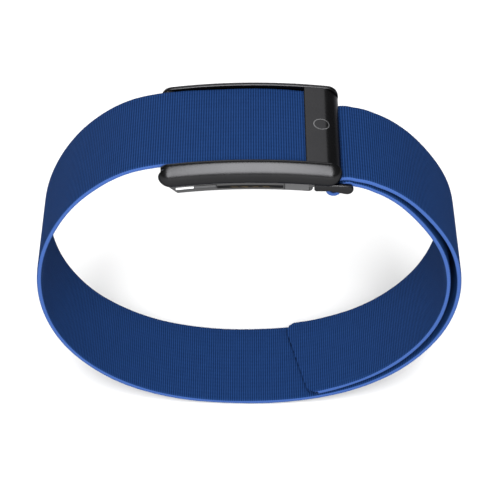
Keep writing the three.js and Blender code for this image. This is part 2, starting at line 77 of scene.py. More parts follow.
# %% Set up the camera
ELEVATION = math.radians(44.69)
CAMERA_DISTANCE = 0.4378

bpy.ops.object.select_all(action="DESELECT")
bpy.ops.object.camera_add(
    location=(0, -CAMERA_DISTANCE * math.cos(ELEVATION), CAMERA_DISTANCE * math.sin(ELEVATION)),
    rotation=(math.pi / 2 - ELEVATION, 0, 0),
)
camera = bpy.context.object
camera.data.lens = 128.4
camera.data.shift_x = 0.0072
camera.data.shift_y = 0.0046
bpy.context.scene.camera = camera
print("camera at", [round(value, 3) for value in camera.location])

# %% [markdown]
# ## Floor and light
# A plain pale floor lies just under the loop. Black metal shows only what it reflects, so the
# light is planned for the rails: one tall soft box in front gives their upper face its grey band,
# a weaker one behind lifts the crossbar, a low one draws the thin lines on the inner edges, and a
# dim even world fills the rest.

# %% Lay the floor
FLOOR_DROP = 0.0004

bpy.ops.mesh.primitive_plane_add(size=6, location=(0, 0, cad_box[0][2] - FLOOR_DROP))
floor = bpy.context.object
floor.name = "floor"
floor_paint = bpy.data.materials.new("pale floor")
floor_paint.use_nodes = True
floor_surface = floor_paint.node_tree.nodes["Principled BSDF"]
floor_surface.inputs["Base Color"].default_value = (0.66, 0.66, 0.66, 1)
floor_surface.inputs["Roughness"].default_value = 0.9
floor_surface.inputs["Specular IOR Level"].default_value = 0
floor.data.materials.append(floor_paint)
print("floor at", round(floor.location.z, 4))

# %% Hang the soft boxes
def soft_box(name, place, width, height, radiance):
    """A rectangular light at this place that faces the band."""
    facing = (-Vector(place)).to_track_quat("-Z", "Y").to_euler()
    bpy.ops.object.light_add(type="AREA", location=place, rotation=facing)
    light = bpy.context.object
    light.name = name
    light.data.shape = "RECTANGLE"
    light.data.size, light.data.size_y = width, height
    light.data.energy = radiance * math.pi * width * height
    return light


def around(distance, azimuth, elevation):
    """A place at this distance; azimuth 0 is in front and 90 to the right."""
    turn, rise = math.radians(azimuth), math.radians(elevation)
    flat = distance * math.cos(rise)
    return (flat * math.sin(turn), -flat * math.cos(turn), distance * math.sin(rise))


soft_box("front_box", around(0.7, 0, 43), 0.40, 0.84, 15.0)
soft_box("back_box", around(0.7, 180, 52), 0.5, 0.44, 2.6)
soft_box("low_box", around(0.8, 205, 10), 1.0, 0.22, 4.0)
world = bpy.context.scene.world or bpy.data.worlds.new("studio")
bpy.context.scene.world = world
world.use_nodes = True
world.node_tree.nodes["Background"].inputs["Color"].default_value = (1, 1, 1, 1)
world.node_tree.nodes["Background"].inputs["Strength"].default_value = 0.34
bpy.context.scene.view_settings.view_transform = "Standard"

# %% [markdown]
# ## Working by hand
# The pieces are modelled as by hand: a primitive is placed, and then extruded, inset, bevelled
# and cut in edit mode. These few helpers do what the mouse would do: pick one object, pick its
# faces or edges by their place, and run an operator on what is picked.

# %% Helpers for picking and shaping
def pick(*pieces):
    """Selects only these objects; the first is the active one."""
    bpy.ops.object.select_all(action="DESELECT")
    for piece in pieces:
        piece.select_set(True)
    bpy.context.view_layer.objects.active = pieces[0]


def middle(item):
    """The middle of a vertex, an edge or a face, in millimetres."""
    corners = [item.co] if isinstance(item, bmesh.types.BMVert) else [v.co for v in item.verts]
    return sum(corners, Vector()) / len(corners) / MM


def choose(piece, kind, test):
    """In edit mode, selects only the faces or edges that pass the test."""
    bpy.ops.mesh.select_mode(type=kind)
    mesh = bmesh.from_edit_mesh(piece.data)
    for item in (*mesh.faces, *mesh.edges, *mesh.verts):
        item.select = False
    chosen = mesh.faces if kind == "FACE" else mesh.edges
    count = 0
    for item in chosen:
        if test(item):
            item.select_set(True)
            count += 1
    bmesh.update_edit_mesh(piece.data)
    return count


def start_editing(piece):
    pick(piece)
    bpy.ops.object.mode_set(mode="EDIT")
    bpy.ops.mesh.select_all(action="SELECT")


def stop_editing():
    bpy.ops.mesh.select_all(action="SELECT")
    bpy.ops.mesh.normals_make_consistent(inside=False)
    bpy.ops.object.mode_set(mode="OBJECT")


# %% Helpers for outlines
def outline_face(name, corners):
    """A flat face with these corners, from a circle whose rim is moved onto them."""
    bpy.ops.mesh.primitive_circle_add(vertices=len(corners), fill_type="NGON")
    piece = bpy.context.object
    piece.name = name
    for vertex, corner in zip(piece.data.vertices, corners):
        vertex.co = Vector(corner) * MM
    return piece


def prism(name, outline, near, far):
    """An outline in X and Z with its thickness along Y."""
    piece = outline_face(name, [(x, near, z) for x, z in outline])
    start_editing(piece)
    bpy.ops.mesh.extrude_region_move(TRANSFORM_OT_translate={"value": (0, (far - near) * MM, 0)})
    stop_editing()
    return piece


def plate(name, outline, low, high):
    """An outline in X and Y with its height along Z."""
    piece = outline_face(name, [(x, y, low) for x, y in outline])
    start_editing(piece)
    bpy.ops.mesh.extrude_region_move(TRANSFORM_OT_translate={"value": (0, 0, (high - low) * MM)})
    stop_editing()
    return piece


def rod(name, place, radius, near, far, sides=32):
    """A round rod along Y at this X and Z."""
    x, z = place
    bpy.ops.mesh.primitive_cylinder_add(
        vertices=sides, radius=radius * MM, depth=(far - near) * MM,
        location=(x * MM, (near + far) / 2 * MM, z * MM), rotation=(math.pi / 2, 0, 0),
    )
    piece = bpy.context.object
    piece.name = name
    bpy.ops.object.transform_apply(location=True, rotation=True, scale=True)
    return piece


def combine(piece, other, operation):
    """Joins the other piece to this one or cuts it away, and removes it."""
    pick(piece)
    step = piece.modifiers.new("combine", "BOOLEAN")
    step.object, step.operation, step.solver = other, operation, "EXACT"
    bpy.ops.object.modifier_apply(modifier=step.name)
    bpy.data.objects.remove(other)
    return piece


def soften(piece, test, radius, segments=3):
    """Rounds the edges that pass the test."""
    start_editing(piece)
    count = choose(piece, "EDGE", test)
    if count:
        bpy.ops.mesh.bevel(offset=radius * MM, segments=segments, affect="EDGES", profile=0.5)
    stop_editing()
    return count


def smooth(piece, degrees=32):
    pick(piece)
    bpy.ops.object.shade_smooth_by_angle(angle=math.radians(degrees))


# %% [markdown]
# ## The arch
# The clasp, the pod and their trims all follow one shallow arch over the arm. Its radius of 140 mm
# is the main drawing dimension, and every height below is given where it crosses the crown.

# %% Draw with the arch
ARCH_RADIUS, ARCH_X, RAIL_TOP = 140, 2, 42.3
ARCH_CENTRE = Vector((ARCH_X, RAIL_TOP - ARCH_RADIUS))


def arc(centre, radius, start, end, steps):
    """Points in X and Z along an arc, from one angle to another."""
    angles = [start + (end - start) * i / steps for i in range(steps + 1)]
    return [(centre[0] + radius * math.cos(a), centre[1] + radius * math.sin(a)) for a in angles]


def arch_angle(x, crown):
    return math.acos((x - ARCH_X) / (crown - ARCH_CENTRE.y))


def arch_point(angle, crown):
    radius = crown - ARCH_CENTRE.y
    return (ARCH_X + radius * math.cos(angle), ARCH_CENTRE.y + radius * math.sin(angle))


def level(x, crown):
    """The height of an arc at this X."""
    return ARCH_CENTRE.y + math.sqrt((crown - ARCH_CENTRE.y) ** 2 - (x - ARCH_X) ** 2)


def along_arch(crown, left, right, steps=36):
    start, end = arch_angle(left, crown), arch_angle(right, crown)
    return arc(ARCH_CENTRE, crown - ARCH_CENTRE.y, start, end, steps)


def arch_band(left, right, low, high, steps=36, straight=0.0):
    """The band between two arcs, with upright ends and maybe a straight stretch before each."""
    above = along_arch(high, left + straight, right - straight, steps)
    below = along_arch(low, right - straight, left + straight, steps)
    if straight:
        above = [(left, level(left, high)), *above, (right, level(right, high))]
        below = [(right, level(right, low)), *below, (left, level(left, low))]
    return above + below


print("arch falls", round(RAIL_TOP - arch_point(arch_angle(-20, RAIL_TOP), RAIL_TOP)[1], 2), "mm")

# %% [markdown]
# ## Shader maths
# Finishes are written as formulas. The class below wraps one output socket, so that an expression
# such as `1 - mask * 0.3` adds the Math nodes it needs. Colours never pass through a Math node,
# which would turn them grey; they are mixed.

# %% A socket with arithmetic
class Signal:
    """One number that varies over a surface."""

    def __init__(self, finish, socket):
        self.finish, self.socket = finish, socket

    def maths(self, operation, first, second=None):
        values = {0: first} if second is None else {0: first, 1: second}
        return self.finish.node("ShaderNodeMath", {"operation": operation}, values)

    def __add__(self, other): return self.maths("ADD", self, other)
    def __radd__(self, other): return self.maths("ADD", other, self)
    def __sub__(self, other): return self.maths("SUBTRACT", self, other)
    def __rsub__(self, other): return self.maths("SUBTRACT", other, self)
    def __mul__(self, other): return self.maths("MULTIPLY", self, other)
    def __rmul__(self, other): return self.maths("MULTIPLY", other, self)
    def __gt__(self, other): return self.maths("GREATER_THAN", self, other)
    def __lt__(self, other): return self.maths("LESS_THAN", self, other)
    def sine(self): return self.maths("SINE", self)
    def size(self): return self.maths("ABSOLUTE", self)
    def clamp(self): return self.maths("MAXIMUM", self.maths("MINIMUM", self, 1), 0)


# %% A finish and its nodes
class Finish:
    """A material that is put together node by node."""

    def __init__(self, name, colour, roughness, metallic=0.0, **constants):
        self.material = bpy.data.materials.new(name)
        self.material.use_nodes = True
        self.tree = self.material.node_tree
        self.surface = self.tree.nodes["Principled BSDF"]
        self.set("Base Color", (*colour, 1))
        self.set("Roughness", roughness)
        self.set("Metallic", metallic)
        for socket, value in constants.items():
            self.set(socket.replace("_", " "), value)
        self.material.diffuse_color = (*colour, 1)

    def set(self, socket, value):
        """A number or colour is set on the shader's own socket, and a signal is linked to it."""
        if isinstance(value, Signal):
            self.tree.links.new(value.socket, self.surface.inputs[socket])
        else:
            self.surface.inputs[socket].default_value = value

    def node(self, kind, settings=None, values=None, output=0):
        """Adds a node, with its settings first and then the values or links of its sockets."""
        node = self.tree.nodes.new(kind)
        for setting, value in (settings or {}).items():
            setattr(node, setting, value)
        for socket, value in (values or {}).items():
            if isinstance(value, Signal):
                self.tree.links.new(value.socket, node.inputs[socket])
            else:
                node.inputs[socket].default_value = value
        return Signal(self, node.outputs[output])

    def place(self):
        return self.node("ShaderNodeTexCoord", output="Object")

    def split(self, vector):
        """The three numbers of a vector."""
        node = self.node("ShaderNodeSeparateXYZ", values={0: vector}).socket.node
        return [Signal(self, socket) for socket in node.outputs]

    def noise(self, scale, detail=2.0, vector=None):
        values = {"Vector": vector or self.place(), "Scale": scale, "Detail": detail}
        return self.node("ShaderNodeTexNoise", values=values)

    def blend(self, factor, first, second):
        """Mixes two colours by a number from 0 to 1."""
        values = {0: factor, 6: first, 7: second}
        return self.node("ShaderNodeMix", {"data_type": "RGBA"}, values, output=2)

    def bump(self, height, strength, depth):
        values = {"Height": height, "Strength": strength, "Distance": depth}
        self.set("Normal", self.node("ShaderNodeBump", values=values))


def opaque(red, green, blue):
    """A colour for a Mix node, which wants four numbers."""
    return (red, green, blue, 1)


# %% [markdown]
# ## Black metal
# The clasp frame and the link are aluminium, blasted with fine beads and anodised black. The coat
# has a satin gloss with a very fine grain and small uneven patches. A thin ring is etched on the
# crossbar, where the coat is lighter and rougher. It has no depth, so it belongs to the finish.

# %% Mix the black metal
RING_X, RING_RADIUS, RING_LINE = 17.2, 1.75, 0.11
RING_ABOVE = 0.038  # metres; only the top of the crossbar is higher than this


def black_metal(name, with_ring=False):
    finish = Finish(
        name, (0.023, 0.023, 0.024), 0.26, metallic=1.0, Specular_Tint=(0.5, 0.5, 0.51, 1),
    )
    patches = finish.noise(140, 3)
    grain = finish.noise(9000, 2)
    colour = finish.blend(patches, opaque(0.020, 0.020, 0.021), opaque(0.026, 0.026, 0.027))
    roughness = 0.22 + patches * 0.06 + grain * 0.04
    if with_ring:
        x, y, z = finish.split(finish.place())
        across = finish.node(
            "ShaderNodeVectorMath", {"operation": "LENGTH"},
            {0: finish.node("ShaderNodeCombineXYZ", values={0: x - RING_X * MM, 1: y})},
            output="Value",
        )
        ring = ((across - RING_RADIUS * MM).size() < RING_LINE * MM) * (z > RING_ABOVE)
        colour = finish.blend(ring, colour, opaque(0.16, 0.16, 0.165))
        roughness = roughness + ring * 0.25
    finish.set("Base Color", colour)
    finish.set("Roughness", roughness)
    finish.bump(grain, 0.12, 0.00004)
    return finish.material


clasp_metal = black_metal("black metal with ring", with_ring=True)
link_metal = black_metal("black metal")
print("finishes:", clasp_metal.name, "and", link_metal.name)

# %% [markdown]
# ## Moulded and small finishes
# The pod is a black moulded polymer with a fine spark-eroded grain. One recipe gives the other
# small parts their colour, gloss and grain, because they differ only in numbers.

# %% Mix the other finishes
def moulded(name, colour, roughness, grain_scale=5000, grain=0.15, metallic=0.0, **constants):
    """A finish with a fine grain and faint uneven patches."""
    finish = Finish(name, colour, roughness, metallic, **constants)
    patches = finish.noise(220, 3)
    dust = finish.noise(grain_scale, 2)
    darker = opaque(*(0.86 * channel for channel in colour))
    finish.set("Base Color", finish.blend(patches, darker, opaque(*colour)))
    finish.set("Roughness", roughness - 0.03 + patches * 0.06)
    finish.bump(dust, grain, 0.00004)
    return finish.material


finishes = {
    "pod_polymer": moulded("black polymer", (0.018, 0.018, 0.019), 0.42),
    "trim_polymer": moulded("grey polymer", (0.042, 0.042, 0.044), 0.45),
    "seal_rubber": moulded("seal rubber", (0.012, 0.012, 0.013), 0.75),
    "steel": moulded("turned steel", (0.55, 0.56, 0.58), 0.25, 3000, 0.08, 1.0),
    "gold": moulded("gold plating", (0.75, 0.52, 0.22), 0.28, 3000, 0.08, 1.0),
    "light_pipe": moulded("frosted light pipe", (0.62, 0.62, 0.63), 0.35, 4000, 0.05),
    "glass": moulded("smoked window", (0.008, 0.008, 0.009), 0.06, 800, 0.01, Coat_Weight=0.6),
    "green_diode": moulded("green diode", (0.10, 0.62, 0.16), 0.3),
    "red_diode": moulded("red diode", (0.62, 0.07, 0.05), 0.3),
    "dark_diode": moulded("infrared diode", (0.03, 0.02, 0.05), 0.3),
    "photo_cell": moulded("light detector", (0.025, 0.035, 0.06), 0.2),
    "board": moulded("circuit board", (0.014, 0.105, 0.038), 0.5, 2500, 0.3),
    "chip": moulded("chip resin", (0.014, 0.014, 0.015), 0.55),
    "tin": moulded("shield tin", (0.40, 0.41, 0.42), 0.35, 2000, 0.1, 1.0),
    "foil": moulded("cell foil", (0.52, 0.53, 0.54), 0.4, 1200, 0.4, 0.8),
    "flex": moulded("flex film", (0.46, 0.13, 0.014), 0.4),
}
print(len(finishes), "moulded finishes")

# %% [markdown]
# ## Ribbed knit
# The strap is an elastic knit of blue yarn. Ribs 0.57 mm apart run across it, and each rib is a
# chain of small stitches. The flat strip's own place, along and across, is kept as its UV map in
# millimetres, so the pattern follows the cloth wherever it bends. The valleys between the ribs are
# painted darker, as painted shade, and both edges are painted lighter: partly a lighter selvedge
# yarn and partly a painted highlight where the edges face the light.

# %% Mix the knit
RIB_PITCH = 0.57
STITCH_PITCH = 0.42
LINE_PITCH = 1.26  # faint lines along the strap
# Where the edges start to be painted lighter, as selvedge yarn and painted highlight.
SELVEDGE_AND_HIGHLIGHT_START = 12.5  # from the middle of the strap to where the lighter edge starts


def ribbed_knit(name):
    finish = Finish(name, (0.005, 0.019, 0.069), 0.9, Specular_IOR_Level=0.03)
    uv = finish.node("ShaderNodeUVMap", {"uv_map": "cloth"})
    along, across, _ = finish.split(uv)
    ridge = (along * (2 * math.pi / RIB_PITCH) - math.pi / 2).sine() * 0.5 + 0.5
    stitch = (across * (2 * math.pi / STITCH_PITCH)).sine() * 0.5 + 0.5
    lines = (across * (2 * math.pi / LINE_PITCH)).sine() * 0.5 + 0.5
    yarn = finish.noise(2.2, 3, uv)
    slub = finish.noise(0.35, 2, uv)
    # The edges are painted lighter: partly a lighter selvedge yarn, partly a painted highlight
    # where they face the light.
    selvedge_and_highlight = ((across.size() - SELVEDGE_AND_HIGHLIGHT_START) * 9).clamp()
    # The rib valleys get the darker colour as painted shade; stitches, lines and yarn noise add
    # pattern and random tone.
    rib_shade_and_yarn_tone = (ridge * 0.66 + stitch * 0.08 + lines * 0.08 + yarn * 0.18 + slub * 0.14).clamp()
    cloth = finish.blend(rib_shade_and_yarn_tone, opaque(0.0008, 0.0045, 0.020), opaque(0.0088, 0.0325, 0.115))
    finish.set("Base Color", finish.blend(selvedge_and_highlight, cloth, opaque(0.028, 0.063, 0.194)))
    finish.set("Roughness", 0.78 + yarn * 0.14)
    finish.bump(ridge * 0.6 + stitch * 0.3 + yarn * 0.3, 0.6, 0.00012)
    return finish.material


knit = ribbed_knit("ribbed blue knit")
print("ribs on 10 mm of strap:", round(10 / RIB_PITCH, 1))

# %% [markdown]
# ## The strap's route
# The strap is one length. It starts in a hem round the clasp's anchor rod, goes over the pod and
# round the arm, turns back round the link's flat bar, and its spare end lies inside the loop. The
# route is the middle of its thickness, seen along the arm. A smooth curve through a few points
# gives it, and the spare end is the loop's own route moved inwards.

# %% Draw the route
LOOP = [
    (-15.2, 40.25), (-19.0, 39.8), (-22.9, 39.3), (-27.1, 37.95), (-30.8, 35.85), (-36.6, 31.2),
    (-42.3, 24.4), (-47.9, 12.8), (-49.9, 0), (-48.0, -12.9), (-42.1, -24.3), (-33.0, -33.0),
    (-22.2, -38.5), (-11.0, -41.1), (0, -41.8), (11.0, -41.1), (22.2, -38.5), (33.2, -33.2),
    (42.6, -24.6), (49.1, -13.2), (51.3, 0), (48.7, 13.1), (41.8, 24.1), (36.3, 30.0),
    (32.4, 32.7), (29.0, 34.4), (24.7, 35.45),
]
ANCHOR_ROD = (17.3, 39.0)
HEM_TURN = 1.02
TURN_CENTRE, TURN_RADIUS = (19.85, 32.25), 1.3
TAIL_NEAR, TAIL_AWAY, TAIL_LENGTH = 1.55, 1.0, 118


def smooth_route(points, steps=24):
    """A smooth curve through the points, as a dense list of points."""
    places = []
    last = len(points) - 1
    for i in range(last):
        before, a = Vector(points[max(i - 1, 0)]), Vector(points[i])
        b, after = Vector(points[i + 1]), Vector(points[min(i + 2, last)])
        leave, arrive = (b - before) / 2, (after - a) / 2
        for step in range(steps):
            t = step / steps
            places.append(
                (2 * a - 2 * b + leave + arrive) * t ** 3
                + (-3 * a + 3 * b - 2 * leave - arrive) * t ** 2 + leave * t + a
            )
    return places + [Vector(points[-1])]


def distances(route):
    """How far along the route each point is."""
    total, measured = 0.0, [0.0]
    for here, there in zip(route, route[1:]):
        total += (there - here).length
        measured.append(total)
    return measured


def at_distance(route, measured, distance):
    """The place at this distance along the route, and the direction to its left."""
    i = min(max(bisect.bisect_right(measured, distance) - 1, 0), len(route) - 2)
    heading = (route[i + 1] - route[i]).normalized()
    place = route[i] + heading * (distance - measured[i])
    return place, Vector((-heading.y, heading.x))


def fair(route, reach=6.0, step=0.5):
    """Evens out the curve: each place becomes the mean of its neighbours within reach."""
    measured = distances(route)
    length = measured[-1]
    count = round(length / step)
    even = [at_distance(route, measured, length * i / count)[0] for i in range(count + 1)]
    faired = []
    for i in range(count + 1):
        near = min(round(reach / step), i, count - i)
        window = even[i - near:i + near + 1]
        faired.append(sum(window, Vector((0, 0))) / len(window))
    return faired


hem = arc(ANCHOR_ROD, HEM_TURN, -math.pi, math.pi / 2, 14)
over_pod = [(15.4, 40.15), (13.4, 40.35), (8, 40.82), (0, 41.05), (-12, 40.55)]
loop = fair(smooth_route(LOOP))
loop_measured = distances(loop)
print("hem points:", len(hem), "loop length:", round(loop_measured[-1], 1), "mm")

# %% Add the turn and the spare end
link_turn = [
    (23.3, 35.8), (21.4, 35.75), (19.9, 35.5), (18.85, 34.6), (18.55, 33.3),
    *arc(TURN_CENTRE, TURN_RADIUS, math.pi, 2 * math.pi, 6), (21.25, 33.1), (21.9, 34.05),
    (23.3, 34.4),
]


def spare_end(steps=60):
    """The loop's route from the link, moved inwards by a gap that opens and closes."""
    places = []
    for i in range(steps + 1):
        at = i / steps
        place, left = at_distance(loop, loop_measured, loop_measured[-1] - at * TAIL_LENGTH)
        gap = TAIL_NEAR + TAIL_AWAY * math.sin(math.pi * min(at * 1.15, 1)) ** 0.8
        places.append(tuple(place + left * gap))
    return places


to_loop = smooth_route(hem + over_pod + LOOP[:1])
from_loop = smooth_route([tuple(loop[-1])] + link_turn + spare_end())
whole_route = to_loop[:-1] + loop + from_loop[1:]
whole_measured = distances(whole_route)
print("strap length:", round(whole_measured[-1], 1), "mm")

# %% [markdown]
# ## Knitting the strip flat
# Each strip is modelled flat, as it comes off the knitting machine: a long grid is extruded to a
# slab, its ribs are raised on both faces, and its edges are rounded. The route is then a curve
# object, and a Curve modifier bends the strip along it. Bending a flat strip keeps the cloth's
# own measure, so the ribs stay evenly spaced. The strap is made in two strips, because one hangs
# on the clasp and the other on the link. They meet under the spare end, in the valley of a rib.

# %% Knit a flat strip
HALF_WIDTH = 12.7
HALF_THICKNESS = 0.6
RIB_HEIGHT = 0.075
RIB_STEPS = 4
ROWS = [0, 5.5, 9.5, 11.7, 12.2, 12.5, 12.66, 12.7]
ROW_THICKNESS = [1, 1, 1, 0.99, 0.95, 0.84, 0.62, 0.3]
ALL_ROWS = [-y for y in ROWS[:0:-1]] + ROWS
ALL_THICKNESS = ROW_THICKNESS[:0:-1] + ROW_THICKNESS


def knit_strip(name, ribs, hem_ribs=0):
    """A flat strip along X with a rib every pitch, thinner where the hem is."""
    columns, rows = ribs * RIB_STEPS, len(ALL_ROWS) - 1
    bpy.ops.mesh.primitive_grid_add(x_subdivisions=columns, y_subdivisions=rows, size=1)
    strip = bpy.context.object
    strip.name = name
    start_editing(strip)
    bpy.ops.mesh.extrude_region_move(TRANSFORM_OT_translate={"value": (0, 0, -1)})
    stop_editing()
    for vertex in strip.data.vertices:
        column = round((vertex.co.x + 0.5) * columns)
        row = round((vertex.co.y + 0.5) * rows)
        face = 1 if vertex.co.z > -0.5 else -1
        ridge = 0.5 - 0.5 * math.cos(2 * math.pi * column / RIB_STEPS)
        edge = ALL_THICKNESS[row]
        thin = 0.7 + 0.3 * min(max(column / RIB_STEPS - hem_ribs, 0) / 8, 1) if hem_ribs else 1
        half = (HALF_THICKNESS - RIB_HEIGHT) * edge + RIB_HEIGHT * ridge * edge
        wave = 0.04 * math.sin(column * 0.021) + 0.03 * math.sin(column * 0.047 + 1)
        across = ALL_ROWS[row] + wave * (ALL_ROWS[row] / HALF_WIDTH)
        vertex.co = Vector((column * RIB_PITCH / RIB_STEPS, across, face * half * thin)) * MM
    return strip


# %% Note the cloth's measure and bend the strip
def measure_cloth(strip):
    """Keeps the flat place of each corner, in millimetres, as the UV map of the cloth."""
    layer = strip.data.uv_layers.new(name="cloth")
    flat = [0.0] * (2 * len(strip.data.loops))
    for loop_corner in strip.data.loops:
        place = strip.data.vertices[loop_corner.vertex_index].co
        flat[2 * loop_corner.index] = place.x / MM
        flat[2 * loop_corner.index + 1] = place.y / MM
    layer.data.foreach_set("uv", flat)
    for other in [item.name for item in strip.data.uv_layers if item.name != "cloth"]:
        strip.data.uv_layers.remove(strip.data.uv_layers[other])


def bend_strip(strip, start, end, tilt):
    """Bends the strip along the strap's route between two distances."""
    count = round((end - start) / 0.3)
    stops = [start + (end - start) * i / count for i in range(count + 1)]
    curve = bpy.data.curves.new(strip.name + " route", "CURVE")
    curve.dimensions, curve.twist_mode = "3D", "MINIMUM"
    spline = curve.splines.new("POLY")
    spline.points.add(count)
    for point, stop in zip(spline.points, stops):
        place, _ = at_distance(whole_route, whole_measured, stop)
        point.co = (place.x * MM, 0, place.y * MM, 1)
        point.tilt = tilt
    guide = bpy.data.objects.new(curve.name, curve)
    bpy.context.scene.collection.objects.link(guide)
    pick(strip)
    step = strip.modifiers.new("bend", "CURVE")
    step.object, step.deform_axis = guide, "POS_X"
    bpy.ops.object.modifier_apply(modifier=step.name)
    bpy.data.objects.remove(guide)


# %% [markdown]
# ## The upper strip
# It runs from the hem round the anchor rod, over the pod and down the left side, to the bottom of
# the loop.

# %% Make the upper strip
def distance_near(x, z):
    """How far along the route its nearest point to this place is."""
    place = Vector((x, z))
    nearest = min(range(len(whole_route)), key=lambda i: (whole_route[i] - place).length)
    return whole_measured[nearest]


JOIN = distance_near(21, -38.8)
upper_ribs = round(JOIN / RIB_PITCH)
join_at = upper_ribs * RIB_PITCH
upper_strip = knit_strip("strap_upper", upper_ribs, hem_ribs=14)
measure_cloth(upper_strip)
bend_strip(upper_strip, 0, join_at, 0)
upper_strip.data.materials.append(knit)
smooth(upper_strip, 60)
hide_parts("strap_top_span", "strap_loop")
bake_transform(upper_strip)
print(upper_strip.name, upper_ribs, "ribs", len(upper_strip.data.polygons), "faces")

# %% [markdown]
# ## The lower strip
# It goes on up the right side, turns round the link's flat bar and comes back inside the loop. Its
# end is cut on a slant and its two corners are rounded, with cuts of the bisect tool while it is
# still flat.

# %% Make the lower strip and trim its end
TIP_SLANT = 6.1
TIP_CORNER = 3.2
TIP_FAR_X = 10.0


def trim(strip, place, normal):
    """Cuts away what lies beyond a plane across the flat strip, and closes the cut."""
    start_editing(strip)
    bpy.ops.mesh.bisect(
        plane_co=Vector((*place, 0)) * MM, plane_no=(*normal, 0), use_fill=True, clear_outer=True,
    )
    stop_editing()


on_tail = range(len(whole_route) // 2, len(whole_route))
last = min(i for i in on_tail if i > on_tail[-1] - 900 and whole_route[i].x < TIP_FAR_X)
lower_ribs = math.ceil((whole_measured[last] - join_at) / RIB_PITCH)
lower_length = whole_measured[last] - join_at
lower_strip = knit_strip("strap_lower", lower_ribs)
slant = Vector((2 * HALF_WIDTH, -TIP_SLANT)).normalized()
tip_middle = Vector((lower_length - TIP_SLANT / 2, 0))
trim(lower_strip, tip_middle, slant)
for side in (-1, 1):
    edge = Vector((0, side))
    # The corner's centre is one radius inside both the end and the edge.
    inside = HALF_WIDTH - TIP_CORNER
    along = tip_middle.x + (-TIP_CORNER - slant.y * side * inside) / slant.x
    centre = Vector((along, side * inside))
    for part in (0.2, 0.4, 0.6, 0.8):
        outward = (slant * (1 - part) + edge * part).normalized()
        trim(lower_strip, centre + outward * TIP_CORNER, outward)
measure_cloth(lower_strip)
bend_strip(lower_strip, join_at, join_at + lower_ribs * RIB_PITCH, 0)
lower_strip.data.materials.append(knit)
smooth(lower_strip, 60)
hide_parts("strap_link_turn", "strap_tail")
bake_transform(lower_strip)
print(lower_strip.name, lower_ribs, "ribs", len(lower_strip.data.polygons), "faces")

# %% [markdown]
# ## The clasp frame
# Two rails follow the arch on either side of the strap. Each has a flat inner wall and an outer
# face that swells to a ridge at half its height. The outline is extruded for the lip, and repeated
# insets give rings of faces, which are then drawn out by a formula of their height. The inner
# edge gets a small round. The crossbar starts level with the rails, rolls down at the right end
# and ends in an upright wall.

# %% Shape one rail
RAIL_HEIGHT = 6
RAIL_LEFT, RAIL_RIGHT = -20.1, 21.6
RAIL_INNER, RAIL_OUTER, RAIL_LIP = 13.05, 15.8, 0.5
RAIL_MIDDLE = RAIL_TOP - RAIL_HEIGHT / 2
BULGE_STEPS = 14
# The curve from the lip to the ridge: 2 is a quarter of an egg, less is flatter, more is fuller.
UPPER_CURVE, LOWER_CURVE = 1.5, 2.4


def rail_outline():
    half = RAIL_HEIGHT / 2
    left_angle = arch_angle(RAIL_LEFT + half, RAIL_MIDDLE)
    right_angle = arch_angle(RAIL_RIGHT - half, RAIL_MIDDLE)
    radius = RAIL_TOP - ARCH_CENTRE.y
    left, right = arch_point(left_angle, RAIL_MIDDLE), arch_point(right_angle, RAIL_MIDDLE)
    return (
        arc(ARCH_CENTRE, radius, left_angle, right_angle, 40)[:-1]
        + arc(right, half, right_angle, right_angle - math.pi, 20)[:-1]
        + arc(ARCH_CENTRE, radius - RAIL_HEIGHT, right_angle, left_angle, 40)[:-1]
        + arc(left, half, left_angle - math.pi, left_angle - 2 * math.pi, 20)[:-1]
    )


DOME, BULGE = RAIL_HEIGHT / 2 - 0.15, RAIL_OUTER - RAIL_INNER - RAIL_LIP


def swell(x, z):
    """How far the outer face stands out here: flatter above the ridge and fuller below it."""
    half = RAIL_HEIGHT / 2
    first, last = (arch_angle(end, RAIL_MIDDLE) for end in (RAIL_RIGHT - half, RAIL_LEFT + half))
    angle = math.atan2(z - ARCH_CENTRE.y, x - ARCH_X)
    ridge = Vector(arch_point(min(max(angle, first), last), RAIL_MIDDLE))
    away = Vector((x, z)) - ridge
    upward = away.normalized().y if away.length > 1e-6 else 0
    power = 2 + ((UPPER_CURVE if upward > 0 else LOWER_CURVE) - 2) * upward ** 2
    height = min(max((away.length - half + DOME) / DOME, 0), 1)
    return BULGE * (1 - height ** power) ** (1 / power)


def make_rail(name, side):
    inner, lip = side * RAIL_INNER, side * (RAIL_INNER + RAIL_LIP)
    rail = prism(name, rail_outline(), min(inner, lip), max(inner, lip))
    start_editing(rail)
    choose(rail, "FACE", lambda face: abs(middle(face).y - lip) < 0.01 and len(face.verts) > 4)
    turns = [math.pi / 2 * i / BULGE_STEPS for i in range(BULGE_STEPS + 1)]
    for low, high in zip(turns, turns[1:]):
        bpy.ops.mesh.inset(thickness=DOME * (math.cos(low) - math.cos(high)) * MM, depth=0)
    stop_editing()
    for vertex in rail.data.vertices:
        if abs(vertex.co.y / MM - lip) < 0.01:
            vertex.co.y = (lip + side * swell(vertex.co.x / MM, vertex.co.z / MM)) * MM
    # Going in and out of edit mode works out the normals again.
    start_editing(rail)
    stop_editing()
    on_inner_edge = lambda edge: all(abs(v.co.y / MM - inner) < 0.01 for v in edge.verts)
    soften(rail, on_inner_edge, 0.3, 4)
    return rail


near_rail = make_rail("near_rail", -1)
far_rail = make_rail("far_rail", 1)
print("rail faces:", len(near_rail.data.polygons))

# %% Shape the crossbar
CROSSBAR_LEFT, CROSSBAR_TOP = 13.4, RAIL_TOP - 0.15
CROSSBAR_WALL, CROSSBAR_ROLL, CROSSBAR_BOTTOM = 0.65, 4.3, 36.8


